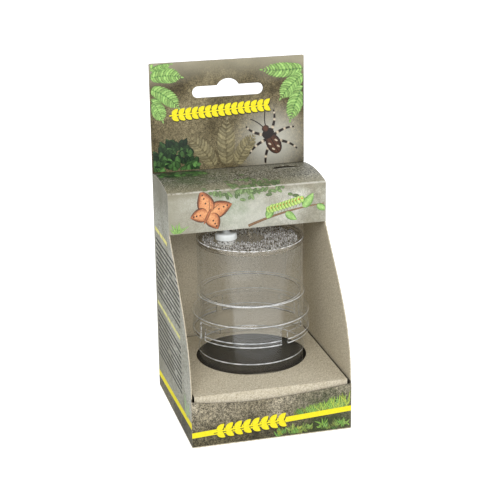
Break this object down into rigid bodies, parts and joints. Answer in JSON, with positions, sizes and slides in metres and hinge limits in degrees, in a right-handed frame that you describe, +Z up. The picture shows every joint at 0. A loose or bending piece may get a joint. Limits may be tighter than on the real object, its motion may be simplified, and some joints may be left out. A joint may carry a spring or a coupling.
{
  "type": "cricket keeper box",
  "caption": "Clear cylindrical two-part insect keeper with a vented lid and feeding stopper, standing in an open-fronted hanging card carton with a lifting top flap.",
  "frame": {"origin": "floor level under the middle of the carton's footprint", "axes": "+X to the right seen from the front, +Y to the back with the hang tab, +Z up"},
  "size_m": [0.1, 0.1, 0.215],
  "materials": {
    "printed_card": "printed and varnished outside, plain kraft inside",
    "kraft_card": "plain kraft",
    "clear_plastic": "clear and glossy",
    "milky_plastic": "milky, satin"
  },
  "bodies": {
    "carton": {"back_panel": "printed_card", "hang_tab_front_layer": "printed_card", "left_side_panel": "printed_card", "right_side_panel": "printed_card", "front_panel": "printed_card", "glue_flap": "kraft_card", "bottom_panel": "kraft_card", "left_bottom_flap": "kraft_card", "right_bottom_flap": "kraft_card", "bottom_tuck_flap": "kraft_card", "tray_platform": "kraft_card", "tray_front_leg": "kraft_card", "tray_rear_leg": "kraft_card"},
    "top_flap": {"top_panel": "printed_card", "fascia": "printed_card", "left_tuck_ear": "kraft_card", "right_tuck_ear": "kraft_card"},
    "tub": {"upper_shell": "clear_plastic", "lid_ring": "clear_plastic", "vent_plate": "clear_plastic", "centre_post": "clear_plastic"},
    "cup": {"lower_cup": "clear_plastic"},
    "stopper": {"feeding_stopper": "milky_plastic"}
  },
  "joints": [
    {"name": "top_flap_hinge", "type": "hinge", "parent": "carton", "child": "top_flap", "pos_m": [0, 0.0488, 0.145], "axis": [-1, 0, 0], "range_deg": [0, 70]},
    {"name": "tub_lift", "type": "slide", "parent": "carton", "child": "tub", "axis": [0, 0, 1], "range_m": [0, 0.006]},
    {"name": "cup_turn", "type": "hinge", "parent": "tub", "child": "cup", "pos_m": [0.0024, 0.0084, 0.06], "axis": [0, 0, 1], "range_deg": [-20, 0]},
    {"name": "stopper_pull", "type": "slide", "parent": "tub", "child": "stopper", "axis": [0, 0, 1], "range_m": [0, 0.008]}
  ]
}
